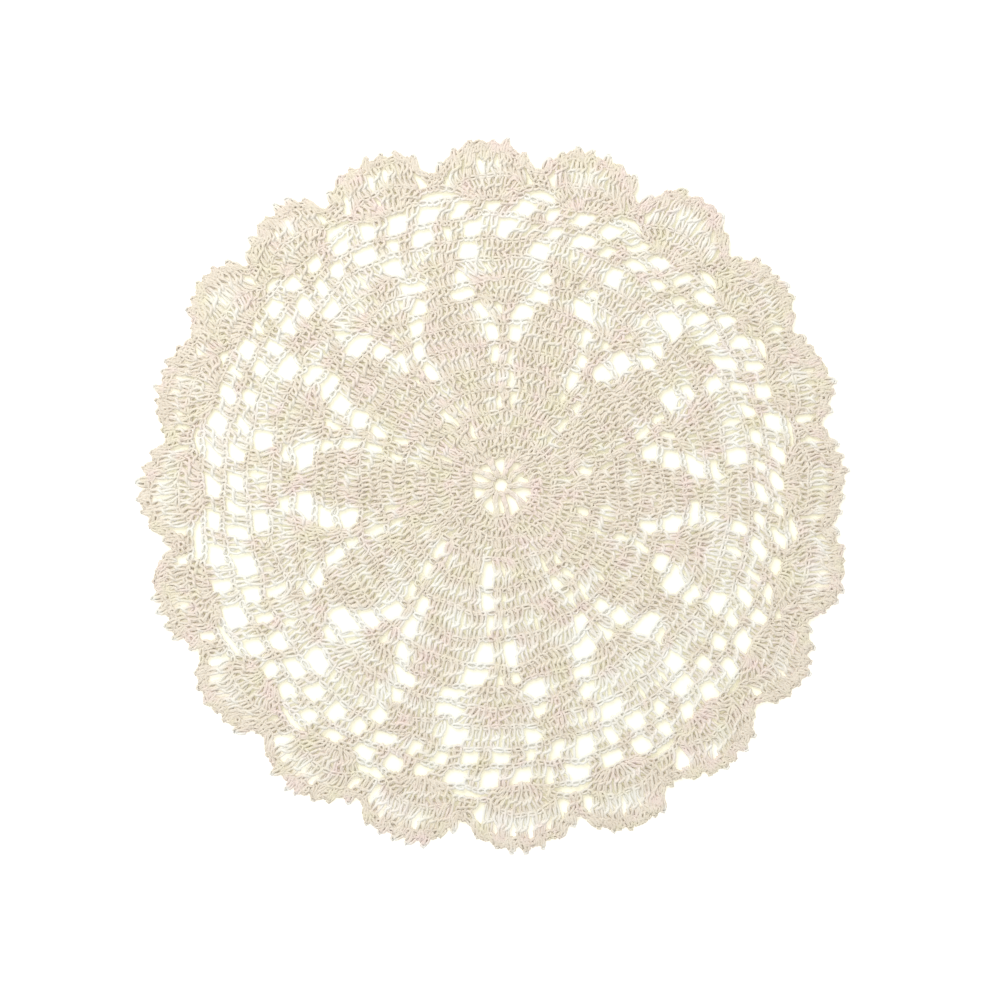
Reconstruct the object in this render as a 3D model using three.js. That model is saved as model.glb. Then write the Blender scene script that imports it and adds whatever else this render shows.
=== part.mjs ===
// Crochet doily: a round lace napkin, worked in the round from the centre out with one cotton yarn.
// It lies flat on the surface. The solid is the pressed mat: its picot-edged, scalloped outline as
// uneven as hand work leaves it, and its largest windows. Millimetres, +Z up, right side up.
// The origin is the centre of the work, on the underside. Bearings are degrees clockwise from +Y.
import * as THREE from "three";

// ---- Driving dimensions ----
const THICKNESS = 2.6; // two crossing strands of yarn, pressed flat
const CENTRE_TOPS = [0, 13.4, 22.2, 31.4]; // radius of the centre, and of the tops of rounds 1 to 3
const COLOUR = 0xe6dfce; // unbleached cotton
const ROUGHNESS = 0.92;

// Rounds are counted from the centre: level 7 is the top of round 7, and a level such as 10.5 is
// half way up round 11. Round 16 is the picots.
const LEVEL = { petals: 7, fans: 11, net: 13, picots: 16 };

// One row for each of the 20 fans and the shell above it, clockwise. A fan with an even number stands
// on a gap between two petals, and one with an odd number on a petal's tip.
// fan, shell, dip: bearings of the fan, of its shell, and of the dip after that shell.
// petals, fans, net, picots, dipRim: how far the work reaches there, from the centre.
const HAND_WORK = rows(
  ["fan", "shell", "dip", "petals", "fans", "net", "picots", "dipRim"],
  [0, -2, 7, 69.5, 104.5, 121, 146, 135.5],
  [18, 17, 26, 68, 104, 120.5, 146.5, 133.5],
  [37, 36, 45, 67, 104, 119, 148, 136.5],
  [55, 53, 62.5, 67, 101.5, 121, 147, 140],
  [73, 70, 79.5, 67.5, 104, 121, 146, 137.5],
  [90.5, 89, 97, 68, 104, 120, 145, 140],
  [108.5, 107, 114, 68, 106.5, 123, 149.5, 141.5],
  [125.5, 122, 131, 69, 106.5, 125.5, 151, 141.5],
  [144.5, 139, 149.5, 69.5, 108.5, 126, 151.5, 143.5],
  [163, 157, 167, 72, 108, 127, 154.5, 143],
  [181, 176, 186.5, 75.5, 109.5, 126, 154, 141],
  [199.5, 195, 205, 76, 112, 127, 154.5, 146],
  [217, 213, 224, 74.5, 112, 129.5, 155, 144.5],
  [236, 231, 241.5, 72, 109, 128, 154.5, 145],
  [254, 250, 260, 70.5, 107, 129, 153, 141.5],
  [271.5, 270, 278.5, 69, 106.5, 125.5, 152.5, 143],
  [290, 288, 296.5, 70.5, 107, 126, 151, 144.5],
  [307, 303, 311.5, 70.5, 106.5, 125.5, 154, 142],
  [324.5, 319, 328.5, 71, 108, 125.5, 151.5, 139.5],
  [342, 338, 348, 70, 104.5, 123.5, 149, 135.5],
);

// Windows on each side of a gap's fan. Places are shares of the way from that fan to the next one:
// the window's two sides at its foot and at its head.
const LACE_WINDOWS = rows(
  ["foot", "head", "footNear", "footFar", "headNear", "headFar"],
  [6.14, 6.88, 0.1, 0.42, 0.12, 0.46],
  [7.14, 7.86, 0.22, 0.62, 0.26, 0.78],
  [8.14, 8.82, 0.24, 0.86, 0.32, 0.86],
  [9.14, 9.84, 0.34, 0.86, 0.42, 0.74],
  [10.06, 10.94, 0.37, 0.68, 0.38, 0.62],
);

// The two rounds of net have three windows to each fan or shell.
const NET_WINDOWS = rows(["foot", "head", "halfWidth"], [11.12, 11.84, 0.125], [12.12, 12.86, 0.125]);
const NET_PER_FAN = 3;

const CORNER_CUT = 0.24; // how much of a window's sides its rounded corners take
const SIZE_SWING = 0.1; // how much hand work varies a window's size
const PICOTS_PER_SHELL = 7;
const PICOT_TOOTH = 2; // how far a picot stands out of the edge between two
const SHELL_FULLNESS = 3; // exponent of a shell's round top: 2 is a plain arc, more is fuller

/** Turns a list of column names and rows of values into a list of objects. */
function rows(names, ...values) {
  return values.map((row) => Object.fromEntries(names.map((name, index) => [name, row[index]])));
}

/** Reads one column of HAND_WORK at any fan number, smoothly and closed round the doily. */
function column(name, fanNumber) {
  const count = HAND_WORK.length;
  const first = Math.floor(fanNumber);
  const share = fanNumber - first;
  const isBearing = name === "fan" || name === "shell" || name === "dip";
  const read = (index) => {
    const turns = Math.floor(index / count);
    return HAND_WORK[index - turns * count][name] + (isBearing ? 360 * turns : 0);
  };
  const [before, start, end, after] = [-1, 0, 1, 2].map((step) => read(first + step));
  const slopeIn = (end - before) / 2;
  const slopeOut = (after - start) / 2;
  const bend = start - end;
  const cubic = 2 * bend + slopeIn + slopeOut;
  const square = -3 * bend - 2 * slopeIn - slopeOut;
  return start + share * (slopeIn + share * (square + share * cubic));
}

/** How far the work reaches at a level, at the place of a fan number. */
function reach(level, fanNumber) {
  const inner = CENTRE_TOPS.length - 1;
  if (level <= inner) {
    const below = Math.min(Math.floor(level), inner - 1);
    return THREE.MathUtils.lerp(CENTRE_TOPS[below], CENTRE_TOPS[below + 1], level - below);
  }
  const stops = [
    [inner, CENTRE_TOPS[inner]],
    ...Object.entries(LEVEL).map(([name, stop]) => [stop, column(name, fanNumber)]),
  ];
  const upper = Math.max(1, stops.findIndex(([stop]) => level <= stop));
  const [[lowLevel, lowReach], [highLevel, highReach]] = [stops[upper - 1], stops[upper]];
  return THREE.MathUtils.mapLinear(level, lowLevel, highLevel, lowReach, highReach);
}

/** The bearing of a fan number at a level: the net leans over from the fans to the shells. */
function bearing(level, fanNumber) {
  const lean = THREE.MathUtils.clamp((level - LEVEL.fans) / (LEVEL.net - LEVEL.fans), 0, 1);
  return THREE.MathUtils.lerp(column("fan", fanNumber), column("shell", fanNumber), lean);
}

/** A point in plan, from its bearing and its distance from the centre. */
function planPoint(degrees, distance) {
  const angle = THREE.MathUtils.degToRad(degrees);
  return new THREE.Vector2(distance * Math.sin(angle), distance * Math.cos(angle));
}

/** A point in plan, from its level and its fan number. */
function workPoint(level, fanNumber) {
  return planPoint(bearing(level, fanNumber), reach(level, fanNumber));
}

/** An uneven but repeatable factor near 1 for the window with this number. */
function handFactor(number) {
  return 1 + SIZE_SWING * Math.sin(2.4 * number + 0.7);
}

/** The outline from dip to dip over one shell, with its picots as small teeth. */
function shellOutline(index) {
  const from = column("dip", index - 1);
  const to = column("dip", index);
  const lowRim = column("dipRim", index - 1);
  const highRim = column("dipRim", index);
  const top = column("picots", index);
  const points = [planPoint(from, lowRim)];
  const steps = 2 * PICOTS_PER_SHELL;
  for (let step = 1; step < steps; step += 1) {
    const share = step / steps;
    const crown = 1 - Math.abs(2 * share - 1) ** SHELL_FULLNESS;
    const rim = THREE.MathUtils.lerp(lowRim, highRim, share);
    const tooth = step % 2 === 1 ? 0 : PICOT_TOOTH * handFactor(index + step);
    points.push(planPoint(THREE.MathUtils.lerp(from, to, share), rim + (top - rim) * crown - tooth));
  }
  return points;
}

/** A window with cut corners between two levels. Its sides are fan numbers at its foot and head. */
function windowOutline(foot, head, footSides, headSides, size) {
  const corner = (across, up) => {
    const level = THREE.MathUtils.lerp(foot, head, 0.5 + size * (up - 0.5));
    const [left, right] = [0, 1].map((side) => THREE.MathUtils.lerp(footSides[side], headSides[side], up));
    return workPoint(level, THREE.MathUtils.lerp(left, right, 0.5 + size * (across - 0.5)));
  };
  const cut = CORNER_CUT;
  return [
    [cut, 0], [1 - cut, 0], [1, cut], [1, 1 - cut], [1 - cut, 1], [cut, 1], [0, 1 - cut], [0, cut],
  ].map(([across, up]) => corner(across, up));
}

/** Every window of the lace between the petals, on both sides of each gap's fan. */
function laceWindows() {
  const outlines = [];
  for (let gap = 0; gap < HAND_WORK.length; gap += 2) {
    for (const side of [-1, 1]) {
      LACE_WINDOWS.forEach((row, index) => {
        const footSides = [gap + side * row.footNear, gap + side * row.footFar];
        const headSides = [gap + side * row.headNear, gap + side * row.headFar];
        const size = handFactor(gap + 3 * side + 7 * index);
        outlines.push(windowOutline(row.foot, row.head, footSides, headSides, size));
      });
    }
  }
  return outlines;
}

/** Every window of the two net rounds. */
function netWindows() {
  const outlines = [];
  NET_WINDOWS.forEach((row, index) => {
    for (let number = 0; number < NET_PER_FAN * HAND_WORK.length; number += 1) {
      const middle = number / NET_PER_FAN;
      const sides = [middle - row.halfWidth, middle + row.halfWidth];
      outlines.push(windowOutline(row.foot, row.head, sides, sides, handFactor(number + 5 * index)));
    }
  });
  return outlines;
}

/** The whole mat as one extruded plate with its windows. */
function buildDoily() {
  const clockwise = HAND_WORK.flatMap((row, index) => shellOutline(index));
  const mat = new THREE.Shape(clockwise.reverse());
  mat.holes = [...laceWindows(), ...netWindows()].map((outline) => new THREE.Path(outline));
  const geometry = new THREE.ExtrudeGeometry(mat, { depth: THICKNESS, bevelEnabled: false, steps: 1 });
  const cotton = new THREE.MeshStandardMaterial({ color: COLOUR, roughness: ROUGHNESS, metalness: 0 });
  const doily = new THREE.Mesh(geometry, cotton);
  doily.name = "doily";
  return doily;
}

const part = new THREE.Group();
part.add(buildDoily());

export default part;
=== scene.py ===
"""A round crochet doily worked in cotton yarn, lying flat, right side up.

Every stitch is a path of yarn. The chart below says which stitches each round holds and where they
stand, the stitch shapes say how the yarn runs through one stitch, and a geometry node tree spins the
yarn along every path. Lengths are in metres, or in millimetres where it says mm. Bearings are degrees
clockwise from +Y, and a place round the work is counted in fans: fan 0 stands at the top, and there
are 20 of them.
"""

from __future__ import annotations

import logging
import math
import random
from dataclasses import dataclass, field
from enum import Enum
from typing import Any, Iterator, NamedTuple, TypeAlias, TypeVar

import bpy
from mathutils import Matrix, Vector, kdtree

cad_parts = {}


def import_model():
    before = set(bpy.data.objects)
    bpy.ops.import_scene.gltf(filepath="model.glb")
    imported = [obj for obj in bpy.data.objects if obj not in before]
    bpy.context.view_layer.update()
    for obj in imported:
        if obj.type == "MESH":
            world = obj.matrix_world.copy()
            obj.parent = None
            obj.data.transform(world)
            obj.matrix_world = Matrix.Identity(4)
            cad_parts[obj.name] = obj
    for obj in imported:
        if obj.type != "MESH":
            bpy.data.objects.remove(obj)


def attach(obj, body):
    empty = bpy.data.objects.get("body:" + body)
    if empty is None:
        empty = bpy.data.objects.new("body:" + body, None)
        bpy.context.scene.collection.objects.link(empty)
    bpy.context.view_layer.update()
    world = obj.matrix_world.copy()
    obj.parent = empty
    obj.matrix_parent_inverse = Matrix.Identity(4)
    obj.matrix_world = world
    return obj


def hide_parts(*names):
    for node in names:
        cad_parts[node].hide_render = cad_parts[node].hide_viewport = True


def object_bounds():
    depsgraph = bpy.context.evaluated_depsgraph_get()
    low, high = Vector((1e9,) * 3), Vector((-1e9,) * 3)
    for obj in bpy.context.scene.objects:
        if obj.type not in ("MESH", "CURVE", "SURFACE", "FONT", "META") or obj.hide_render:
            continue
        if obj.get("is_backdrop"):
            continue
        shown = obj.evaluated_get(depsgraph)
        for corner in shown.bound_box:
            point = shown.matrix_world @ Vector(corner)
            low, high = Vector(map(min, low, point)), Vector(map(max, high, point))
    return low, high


LOG = logging.getLogger("doily")
MM = 0.001
SEED = 20
BODY = "root"

Term = TypeVar("Term", float, Vector)


def curve_terms(before: Term, start: Term, end: Term, after: Term) -> tuple[Term, Term, Term]:
    """The terms of the smooth curve between two stops of a row.

    Args:
        before: the stop before the curve's start.
        start: the stop where the curve starts.
        end: the stop where it ends.
        after: the stop after its end.

    Returns:
        What the share of the way, its square and its cube are multiplied by.
    """
    slope_in, slope_out = (end - before) / 2, (after - start) / 2
    bend = start - end
    return slope_in, -3 * bend - 2 * slope_in - slope_out, 2 * bend + slope_in + slope_out


def polar(degrees: float, distance: float) -> Vector:
    """The point in plan with this bearing, in degrees, and this distance from the centre."""
    angle = math.radians(degrees)
    return Vector((distance * math.sin(angle), distance * math.cos(angle), 0.0))


# ---------------------------------------------------------------- the work as the hand left it


class Fan(NamedTuple):
    """One of the 20 fans and the shell above it: bearings in degrees, reaches in millimetres."""

    fan: float
    shell: float
    dip: float
    petals: float
    fans: float
    net: float
    picots: float
    dip_rim: float


HAND_WORK = (
    Fan(0, -2, 7, 69.5, 104.5, 121, 146, 135.5),
    Fan(18, 17, 26, 68, 104, 120.5, 146.5, 133.5),
    Fan(37, 36, 45, 67, 104, 119, 148, 136.5),
    Fan(55, 53, 62.5, 67, 101.5, 121, 147, 140),
    Fan(73, 70, 79.5, 67.5, 104, 121, 146, 137.5),
    Fan(90.5, 89, 97, 68, 104, 120, 145, 140),
    Fan(108.5, 107, 114, 68, 106.5, 123, 149.5, 141.5),
    Fan(125.5, 122, 131, 69, 106.5, 125.5, 151, 141.5),
    Fan(144.5, 139, 149.5, 69.5, 108.5, 126, 151.5, 143.5),
    Fan(163, 157, 167, 72, 108, 127, 154.5, 143),
    Fan(181, 176, 186.5, 75.5, 109.5, 126, 154, 141),
    Fan(199.5, 195, 205, 76, 112, 127, 154.5, 146),
    Fan(217, 213, 224, 74.5, 112, 129.5, 155, 144.5),
    Fan(236, 231, 241.5, 72, 109, 128, 154.5, 145),
    Fan(254, 250, 260, 70.5, 107, 129, 153, 141.5),
    Fan(271.5, 270, 278.5, 69, 106.5, 125.5, 152.5, 143),
    Fan(290, 288, 296.5, 70.5, 107, 126, 151, 144.5),
    Fan(307, 303, 311.5, 70.5, 106.5, 125.5, 154, 142),
    Fan(324.5, 319, 328.5, 71, 108, 125.5, 151.5, 139.5),
    Fan(342, 338, 348, 70, 104.5, 123.5, 149, 135.5),
)
FANS = len(HAND_WORK)
CENTRE_TOPS = (0.0, 13.4, 22.2, 31.4)  # mm: the centre, and the tops of rounds 1 to 3
LEVELS = {"petals": 7, "fans": 11, "net": 13, "picots": 16}  # rounds at which the columns are read
SHELL_FULLNESS = 2.6  # exponent of a shell's round top: 2 is a plain arc, more is fuller
WANDER = ((7, 2.7, 0.5), (13, -1.9, 0.45), (22, 4.3, 0.4))  # waves round the work, turn a round, mm


@dataclass(frozen=True)
class Blocking:
    """Where each stitch of the finished work lies, as uneven as the hand left it."""

    fans: tuple[Fan, ...] = HAND_WORK
    centre_tops: tuple[float, ...] = CENTRE_TOPS
    fullness: float = SHELL_FULLNESS

    def column(self, name: str, place: float) -> float:
        """Read one column of the hand work at any place, smoothly and closed round the work.

        Args:
            name: the column, such as "fan" or "net".
            place: a place round the work, in fans.

        Returns:
            The bearing in degrees or the reach in millimetres there.
        """
        count = len(self.fans)
        first = math.floor(place)
        share = place - first
        turning = name in ("fan", "shell", "dip")

        def read(index: int) -> float:
            """The column's value at a whole fan number, with the turns added to a bearing."""
            turns, row = divmod(index, count)
            return getattr(self.fans[row], name) + (360 * turns if turning else 0)

        before, start, end, after = (read(first + step) for step in (-1, 0, 1, 2))
        slope, square, cube = curve_terms(before, start, end, after)
        return start + share * (slope + share * (square + share * cube))

    def reach(self, level: float, place: float) -> float:
        """How far the work reaches at a level, in millimetres.

        Args:
            level: a count of rounds: 7 is the top of round 7, and 10.5 is half way up round 11.
            place: a place round the work, in fans.

        Returns:
            The distance from the centre.
        """
        inner = len(self.centre_tops) - 1
        if level <= inner:
            below = min(int(level), inner - 1)
            low, high = self.centre_tops[below], self.centre_tops[below + 1]
            return low + (high - low) * (level - below)
        low_level, low = inner, self.centre_tops[inner]
        for name, high_level in LEVELS.items():
            high = self.column(name, place)
            if level <= high_level or high_level == LEVELS["picots"]:
                return low + (high - low) * (level - low_level) / (high_level - low_level)
            low_level, low = high_level, high
        return low

    def bearing(self, level: float, place: float) -> float:
        """The bearing of a place at a level: the net leans over from the fans to the shells.

        Args:
            level: a count of rounds.
            place: a place round the work, in fans.

        Returns:
            The bearing in degrees.
        """
        lean = min(max((level - LEVELS["fans"]) / (LEVELS["net"] - LEVELS["fans"]), 0.0), 1.0)
        fan, shell = self.column("fan", place), self.column("shell", place)
        return fan + (shell - fan) * lean

    def at(self, level: float, place: float) -> Vector:
        """The point in plan at a level and a place, with each round's small waves.

        Args:
            level: a count of rounds.
            place: a place round the work, in fans.

        Returns:
            The point, in metres.
        """
        turn = 2 * math.pi * place / len(self.fans)
        out = sum(size * math.sin(waves * turn + step * level) for waves, step, size in WANDER)
        along = sum(size * math.cos(waves * turn - step * level) for waves, step, size in WANDER)
        reach = self.reach(level, place) + out
        return polar(self.bearing(level, place) + math.degrees(along / reach), reach * MM)

    def rim(self, shell: int, share: float) -> tuple[float, float]:
        """The scalloped rim over one shell.

        Args:
            shell: the shell's number.
            share: how far from the dip before the shell to the dip after it, from 0 to 1.

        Returns:
            The bearing in degrees, and the reach in millimetres.
        """
        start, end = self.column("dip", shell - 1), self.column("dip", shell)
        low, high = self.column("dip_rim", shell - 1), self.column("dip_rim", shell)
        crown = 1 - abs(2 * share - 1) ** self.fullness
        edge = low + (high - low) * share
        return start + (end - start) * share, edge + (self.column("picots", shell) - edge) * crown


# ---------------------------------------------------------------- the chart


class Middle(Enum):
    """What a group of stitches stands over, as its place within one repeat of two fans."""

    GAP = 0
    PETAL = 1


class Group(NamedTuple):
    """Some double crochets side by side, in one repeat, and the chains that follow them.

    Feet and heads are the places of the first and the last stitch, in fans from the middle.
    """

    middle: Middle
    count: int
    feet: tuple[float, float]
    heads: tuple[float, float]
    chains: int


def span(middle: float, half: float) -> tuple[float, float]:
    """A span that reaches the same way to both sides of its middle."""
    return (middle - half, middle + half)


GAP, PETAL = Middle.GAP, Middle.PETAL
CHART: dict[int, tuple[Group, ...]] = {
    1: (Group(PETAL, 2, span(0, 0.20), span(0, 0.16), 2),),
    2: (Group(GAP, 5, span(0.1, 0.8), span(0.1, 0.8), 0),),
    3: (
        Group(GAP, 2, span(0.19, 0.06), span(0.17, 0.06), 0),
        Group(PETAL, 5, span(0.28, 0.54), span(0.25, 0.52), 0),
    ),
    4: (
        Group(GAP, 2, span(0.17, 0.05), span(0.10, 0.05), 1),
        Group(PETAL, 7, span(0.20, 0.54), span(0.13, 0.57), 1),
    ),
    5: (
        Group(GAP, 2, span(0.10, 0.04), span(0.04, 0.04), 1),
        Group(PETAL, 8, span(0.12, 0.58), span(0.07, 0.61), 1),
    ),
    6: (
        Group(GAP, 2, span(0.04, 0.035), span(0.02, 0.035), 1),
        Group(PETAL, 10, span(0.06, 0.64), span(0.02, 0.66), 1),
    ),
    7: (
        Group(GAP, 2, span(0.02, 0.03), span(0.02, 0.04), 2),
        Group(PETAL, 10, span(0.03, 0.62), span(0.05, 0.54), 2),
    ),
    8: (
        Group(GAP, 2, (-0.13, -0.06), (-0.24, -0.16), 1),
        Group(GAP, 2, (0.08, 0.14), (0.16, 0.22), 3),
        Group(PETAL, 9, span(0.09, 0.47), span(0.06, 0.38), 3),
    ),
    9: (
        Group(GAP, 8, span(0.02, 0.24), span(0.03, 0.54), 3),
        Group(PETAL, 4, span(0.02, 0.17), span(0.00, 0.15), 3),
    ),
    10: (
        Group(GAP, 10, span(0.02, 0.40), span(0.01, 0.60), 3),
        Group(PETAL, 5, span(0.06, 0.18), span(0.05, 0.26), 3),
    ),
    11: (
        Group(GAP, 7, span(0.00, 0.33), span(-0.01, 0.34), 3),
        Group(PETAL, 4, (-0.32, 0.04), (-0.28, 0.00), 1),
        Group(PETAL, 4, (0.12, 0.42), (0.17, 0.39), 3),
    ),
}
SAGS = {9: 1.3, 10: 3.4}  # mm that the chains of a round hang inward between its fans
NET_PER_FAN = 3  # net windows to each fan
NET_CHAINS = 3
NET_PLACE = {12: 0.12, 13: 0.05}  # how far past its third of a fan a pillar's head stands, in fans
NET_LEAN = 0.17  # how far a pillar's foot stands before its head, in fans
PILLAR_FOOT = 1.3  # mm from a net pillar's middle to each of its two feet
PILLAR_HEAD = 1.4  # and to each of its two heads
PILLAR_GIRTH = 1.1  # how thick a net pillar's stitches are
AHEAD = 0.01  # fans from a place to the next one, where only the direction counts


# ---------------------------------------------------------------- the stitches


class Bend(NamedTuple):
    """One point on the yarn through a stitch.

    across and lift are counted in yarn diameters, and rise is a share of the stitch's length.
    """

    across: float
    rise: float
    lift: float


LOWER_LOOP = (
    Bend(-0.20, -0.12, -0.45), Bend(-0.40, -0.05, 0.34), Bend(-0.74, 0.10, 0.34), Bend(-0.84, 0.28, 0.16),
    Bend(-0.45, 0.47, -0.05), Bend(0.00, 0.54, -0.35), Bend(0.45, 0.47, 0.00), Bend(0.86, 0.26, 0.20),
    Bend(0.72, 0.07, -0.15), Bend(0.36, -0.03, -0.55),
)
UPPER_LOOP = (
    Bend(-0.16, 0.40, -0.55), Bend(-0.50, 0.50, 0.10), Bend(-0.86, 0.70, 0.34), Bend(-0.74, 0.88, 0.16),
    Bend(0.00, 1.00, -0.30), Bend(0.74, 0.88, 0.16), Bend(0.86, 0.70, 0.34), Bend(0.50, 0.50, 0.12),
    Bend(0.16, 0.40, -0.55),
)
WRAP = (
    Bend(0.10, 0.02, -0.55), Bend(-0.02, 0.20, -0.30), Bend(-0.55, 0.35, -0.55), Bend(-1.05, 0.42, 0.00),
    Bend(-0.40, 0.50, 0.62), Bend(0.45, 0.57, 0.60), Bend(1.08, 0.64, 0.00), Bend(0.50, 0.72, -0.55),
    Bend(0.02, 0.84, -0.28), Bend(0.00, 0.98, -0.55),
)
SHORT_LOOP = (
    Bend(-0.20, -0.35, -0.40), Bend(-0.52, 0.05, 0.36), Bend(-0.66, 0.55, 0.34), Bend(-0.30, 1.00, 0.00),
    Bend(0.30, 1.00, 0.00), Bend(0.66, 0.50, 0.30), Bend(0.50, 0.00, 0.10), Bend(0.20, -0.30, -0.50),
)
POST_PARTS = {"feet": LOWER_LOOP, "heads": UPPER_LOOP, "wraps": WRAP}
LOWEST = -0.6  # the least lift of a bend, where the yarn lies on the surface


class Pass(NamedTuple):
    """One point on the yarn through a chain.

    along is a share of the chain's length, side a share of its half width, and lift is in diameters.
    """

    along: float
    side: float
    lift: float


CHAIN = (
    Pass(0.00, 0.00, -0.50), Pass(0.24, 0.75, 0.14), Pass(0.62, 1.00, 0.32), Pass(1.00, 0.70, 0.22),
    Pass(1.20, 0.00, 0.00), Pass(1.00, -0.70, 0.22), Pass(0.62, -1.00, 0.32), Pass(0.24, -0.75, 0.12),
    Pass(0.42, 0.00, -0.48),
)


@dataclass
class Strand:
    """One length of yarn: its points, and whether its end joins its start."""

    points: list[Vector]
    closed: bool = False


@dataclass(frozen=True)
class Yarn:
    """The cotton yarn's sizes, in metres, and how uneven it is."""

    diameter: float = 1.32 * MM
    sides: int = 5  # of its section
    step: float = 1.3 * MM  # length of yarn from one ring of the mesh to the next
    middle: float = 1.42 * MM  # height of the work's middle layer above the surface
    lowest: float = 1.18  # least height of its centre line above the surface, in radii
    waver: float = 4.5 * MM  # how far it may stray from its path
    waver_size: float = 11 * MM  # the length in which it strays and comes back
    slub: float = 0.7  # how much its thickness changes, as a share
    slub_size: float = 3.5 * MM

    def rest_height(self, lift: float) -> float:
        """The height of the yarn's centre line for a lift counted in diameters."""
        return self.middle + lift * self.diameter


@dataclass
class Post:
    """One double crochet, from its foot on the round below to its head."""

    foot: Vector
    head: Vector
    girth: tuple[float, float] = (1.0, 1.0)
    bow: float = 0.0  # how far its middle stands to one side
    sway: float = 0.0  # how far its lower half stands to one side and its upper half to the other
    waist: float = 0.5  # how high its two loops meet, as a share of its length
    lift: float = 0.0  # how far it stands up, in diameters

    def follow(self, shape: tuple[Bend, ...], yarn: Yarn) -> Strand:
        """Run the yarn through this stitch along one of its shapes.

        Args:
            shape: the bends of the yarn in an upright stitch.
            yarn: the yarn's sizes.

        Returns:
            The strand in its place in the work.
        """
        rise = self.head - self.foot
        across = Vector((rise.y, -rise.x, 0.0)).normalized()
        points = []
        for bend in shape:
            share = bend.rise + (self.waist - 0.5) * math.sin(math.pi * bend.rise)
            girth = self.girth[0] + (self.girth[1] - self.girth[0]) * share
            side = bend.across * girth * yarn.diameter + self.bow * math.sin(math.pi * share)
            side += self.sway * math.sin(2 * math.pi * share)
            point = self.foot + rise * share + across * side
            height = yarn.rest_height(max(bend.lift + self.lift * math.sin(math.pi * share), LOWEST))
            points.append(Vector((point.x, point.y, height)))
        return Strand(points)


class Stop(NamedTuple):
    """A place that a row of chains runs through, and whether the chain from there hangs free."""

    place: Vector
    free: bool = True


def chain_through(stops: list[Stop], yarn: Yarn, half: float, tight: float, closed: bool) -> Strand:
    """Work a row of chains through a list of places, one chain from each to the next.

    Args:
        stops: where each chain begins, in plan.
        yarn: the yarn's sizes.
        half: half the distance between a free chain's two sides, in diameters.
        tight: how much narrower the chains along the heads of stitches are.
        closed: whether the last chain joins the first.

    Returns:
        One strand that runs through all the chains.
    """
    line = Polyline([stop.place for stop in stops], closed)
    points = []
    for number, stop in enumerate(stops if closed else stops[:-1]):
        width = half * (1.0 if stop.free else tight) * yarn.diameter
        for bend in CHAIN:
            place, direction = line.at(number + bend.along)
            point = place + Vector((direction.y, -direction.x, 0.0)) * bend.side * width
            points.append(Vector((point.x, point.y, yarn.rest_height(bend.lift))))
    return Strand(points, closed)


@dataclass
class Polyline:
    """A smooth line through some places, read by the number of the place."""

    stops: list[Vector]
    closed: bool

    def stop(self, number: int) -> Vector:
        """The place with this number; an open line runs straight on past its ends.

        Args:
            number: the place's number, from 0, or one past either end.

        Returns:
            The place, in plan.
        """
        count = len(self.stops)
        if self.closed:
            return self.stops[number % count]
        if number < 0:
            return self.stops[0] + (self.stops[0] - self.stops[1]) * -number
        if number >= count:
            return self.stops[-1] + (self.stops[-1] - self.stops[-2]) * (number - count + 1)
        return self.stops[number]

    def at(self, number: float) -> tuple[Vector, Vector]:
        """Read the line between its places.

        Args:
            number: a place's number, or a number between two of them.

        Returns:
            The point there, and the line's direction.
        """
        first = math.floor(number)
        share = number - first
        before, start, end, after = (self.stop(first + step) for step in (-1, 0, 1, 2))
        slope, square, cube = curve_terms(before, start, end, after)
        place = start + share * (slope + share * (square + share * cube))
        direction = slope + share * (2 * square + share * 3 * cube)
        return place, direction.normalized()


@dataclass
class Openness:
    """How open the work is around each place, from which the cotton's material paints the table's light
    coming through open work.
    """

    strands: list[Strand]
    reach: float = 3.5 * MM  # how far round a place the yarn counts
    full: int = 55  # points of yarn within reach where the work is solid
    sparse: int = 26  # and where it's most open
    tree: kdtree.KDTree = field(init=False, repr=False)

    def __post_init__(self) -> None:
        """Note where the yarn of the whole work runs, in plan."""
        points = [point for strand in self.strands for point in strand.points]
        self.tree = kdtree.KDTree(len(points))
        for number, point in enumerate(points):
            self.tree.insert((point.x, point.y, 0.0), number)
        self.tree.balance()

    def at(self, point: Vector) -> float:
        """From 0 where the work is solid to 1 where it's most open."""
        near = len(self.tree.find_range((point.x, point.y, 0.0), self.reach))
        return min(max((self.full - near) / (self.full - self.sparse), 0.0), 1.0)


# ---------------------------------------------------------------- the rounds


@dataclass
class Round:
    """One finished round: its double crochets, and the places its top chain runs through."""

    posts: list[Post] = field(default_factory=list)
    stops: list[Stop] = field(default_factory=list)


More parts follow.
